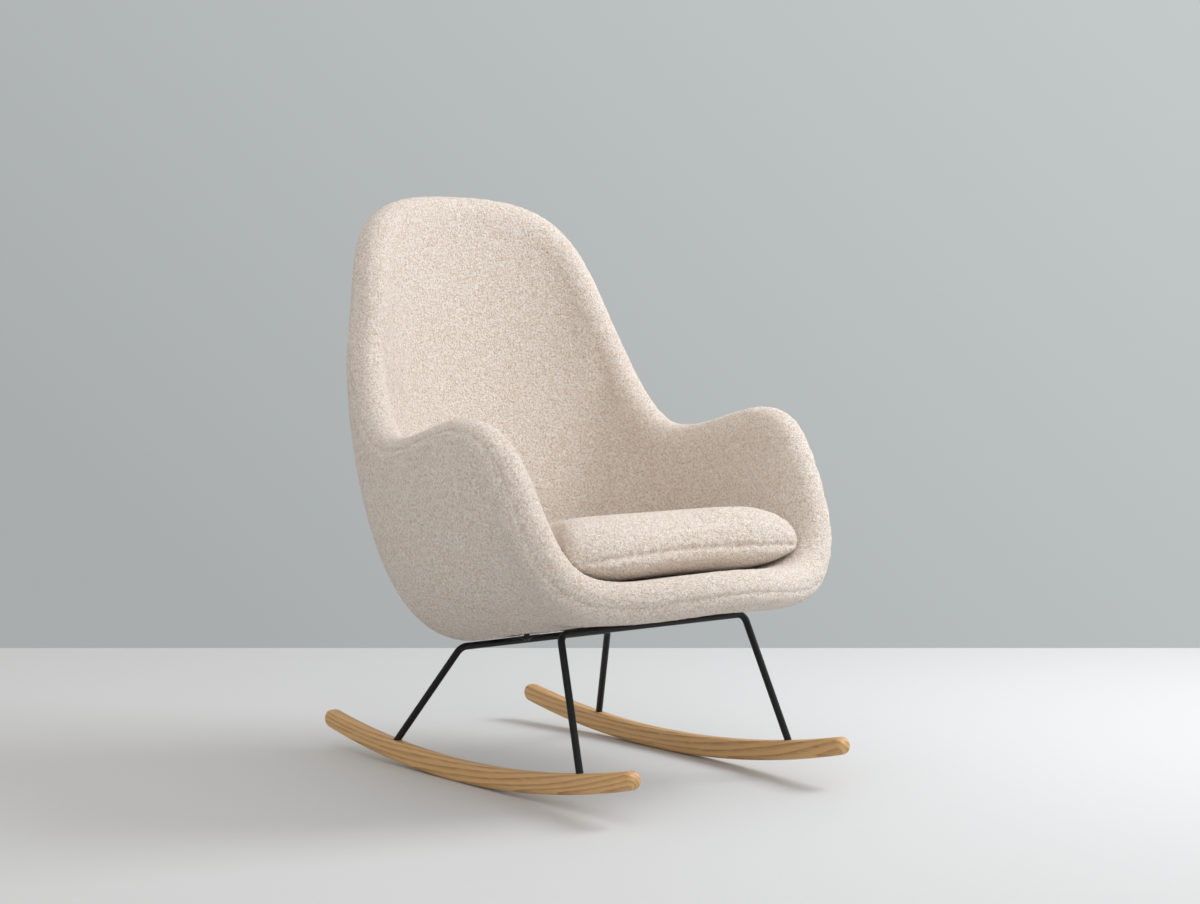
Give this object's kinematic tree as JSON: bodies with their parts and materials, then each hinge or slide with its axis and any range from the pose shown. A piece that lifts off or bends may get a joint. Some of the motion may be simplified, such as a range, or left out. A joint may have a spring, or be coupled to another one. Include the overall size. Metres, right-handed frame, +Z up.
{
  "type": "upholstered rocking chair",
  "caption": "Rocking chair with a padded bucket shell, curved arms and a loose seat cushion, on bent-rod leg frames that stand on arched wooden rockers.",
  "frame": {"origin": "on the floor, on the middle plane, halfway between the front and rear tips of the rockers", "axes": "+Z up, the sitter faces -Y, +X to the sitter's left"},
  "size_m": [0.704, 0.8506, 0.981],
  "materials": {
    "oak": "oiled oak with a satin sheen",
    "black_rod": "matt black powder coat",
    "fastener_steel": "plain zinc-plated steel",
    "boucle": "looped cream boucle",
    "foam": "open-cell foam",
    "moulding": "moulded glass-filled plastic"
  },
  "bodies": {
    "chair": {"rocker_left": "oak", "rocker_right": "oak", "front_leg_frame": "black_rod", "rear_leg_frame": "black_rod", "front_tab_left": "black_rod", "front_tab_right": "black_rod", "rear_tab_left": "black_rod", "rear_tab_right": "black_rod", "tab_washers": "fastener_steel", "tab_bolts": "fastener_steel", "shell_inserts": "fastener_steel", "foot_studs": "fastener_steel", "foot_nuts": "fastener_steel", "moulded_shell": "moulding", "shell_foam": "foam", "outside_cover": "boucle", "inside_cover": "boucle"},
    "cushion": {"cushion_core": "foam", "cushion_top_cover": "boucle", "cushion_bottom_cover": "boucle"}
  },
  "joints": [
    {"name": "cushion_lift", "type": "slide", "parent": "chair", "child": "cushion", "axis": [0, 0, 1], "range_m": [0, 0.3]}
  ]
}
